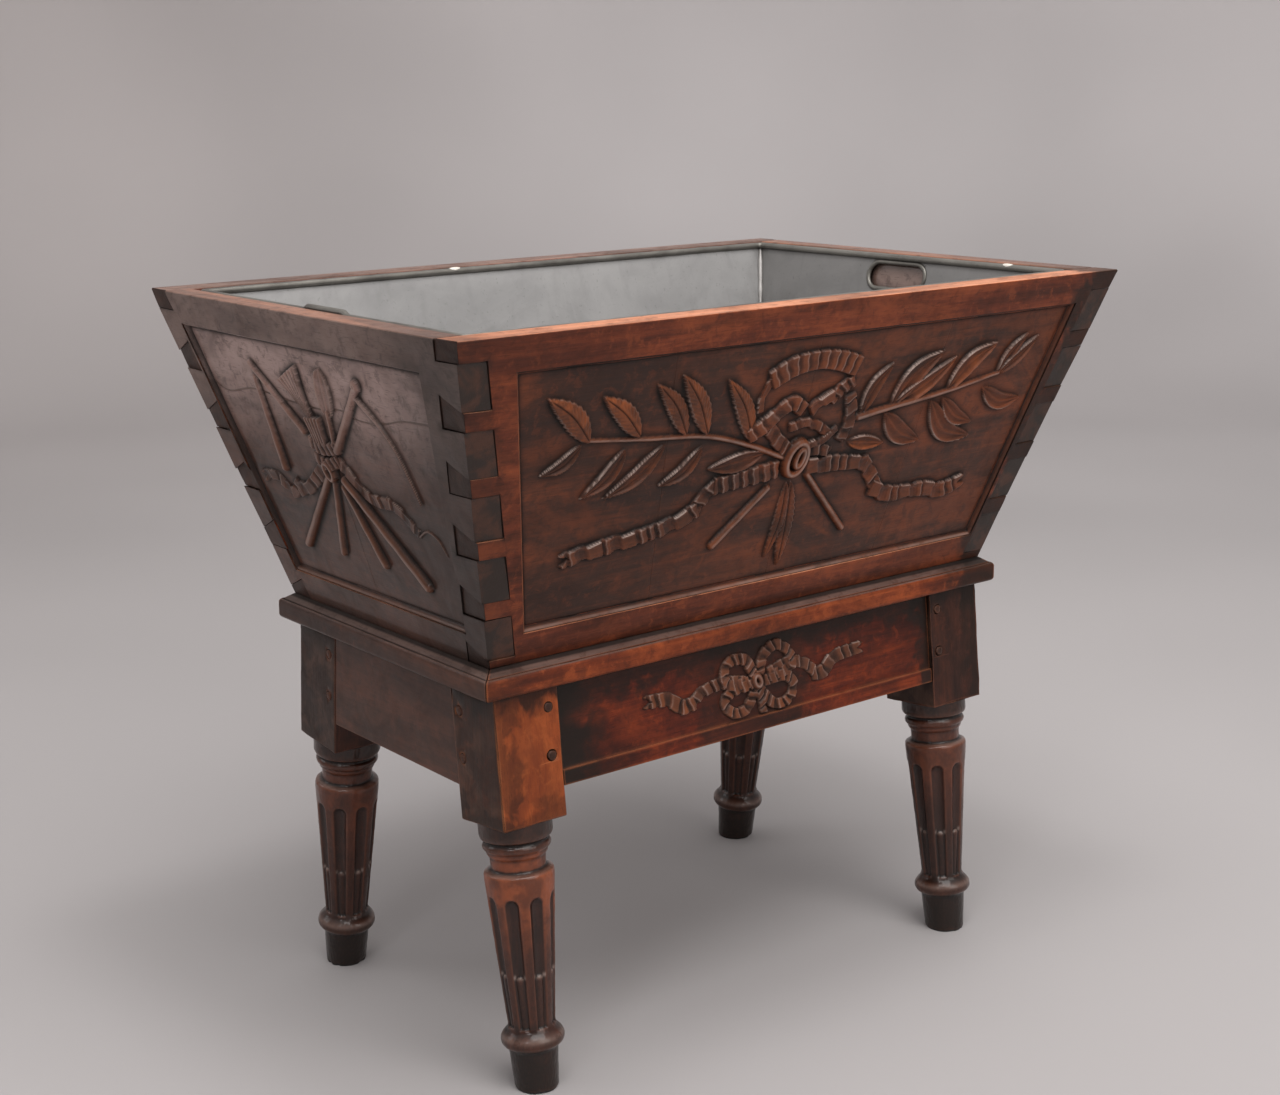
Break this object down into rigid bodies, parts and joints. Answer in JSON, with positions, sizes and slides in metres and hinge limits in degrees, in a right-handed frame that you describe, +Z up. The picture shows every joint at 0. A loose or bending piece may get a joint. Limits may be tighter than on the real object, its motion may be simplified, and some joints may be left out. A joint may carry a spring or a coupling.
{
  "type": "dough-bin cellarette",
  "caption": "Flared, dovetailed walnut trough with carved sunk panels and a lift-out zinc liner, on a pegged stand with raked, fluted legs.",
  "frame": {"origin": "on the floor under the middle of the trough, between the four feet", "axes": "+Z up, +X along the long side to the right as seen from the front, -Y out of the carved front"},
  "size_m": [0.831, 0.564, 0.7434],
  "materials": {
    "trough_walnut": "dark walnut, hand waxed and worn to orange brown on its edges",
    "stand_walnut": "red-brown walnut, hand waxed and worn",
    "peg_wood": "dark end grain, flush and dry",
    "zinc_sheet": "dull mottled zinc sheet",
    "soldered_wire": "rolled and soldered zinc rim, rubbed on its crown"
  },
  "bodies": {
    "carcase": {"trough_front": "trough_walnut", "trough_back": "trough_walnut", "trough_left_end": "trough_walnut", "trough_right_end": "trough_walnut", "trough_bottom": "trough_walnut", "ledge_front": "stand_walnut", "ledge_back": "stand_walnut", "ledge_left": "stand_walnut", "ledge_right": "stand_walnut", "leg_front_left": "stand_walnut", "leg_front_right": "stand_walnut", "leg_back_left": "stand_walnut", "leg_back_right": "stand_walnut", "rail_front": "stand_walnut", "rail_back": "stand_walnut", "rail_left": "stand_walnut", "rail_right": "stand_walnut", "peg_front_left_long_1": "peg_wood", "peg_front_left_long_2": "peg_wood", "peg_front_left_side_1": "peg_wood", "peg_front_left_side_2": "peg_wood", "peg_front_right_long_1": "peg_wood", "peg_front_right_long_2": "peg_wood", "peg_front_right_side_1": "peg_wood", "peg_front_right_side_2": "peg_wood", "peg_back_left_long_1": "peg_wood", "peg_back_left_long_2": "peg_wood", "peg_back_left_side_1": "peg_wood", "peg_back_left_side_2": "peg_wood", "peg_back_right_long_1": "peg_wood", "peg_back_right_long_2": "peg_wood", "peg_back_right_side_1": "peg_wood", "peg_back_right_side_2": "peg_wood"},
    "liner": {"liner_front": "zinc_sheet", "liner_back": "zinc_sheet", "liner_left": "zinc_sheet", "liner_right": "zinc_sheet", "liner_floor": "zinc_sheet", "liner_rim_front": "soldered_wire", "liner_rim_back": "soldered_wire", "liner_rim_left": "soldered_wire", "liner_rim_right": "soldered_wire", "liner_grip_left": "soldered_wire", "liner_grip_right": "soldered_wire"}
  },
  "joints": [
    {"name": "liner_lift", "type": "slide", "parent": "carcase", "child": "liner", "axis": [0, 0, 1], "range_m": [0, 0.33]}
  ]
}
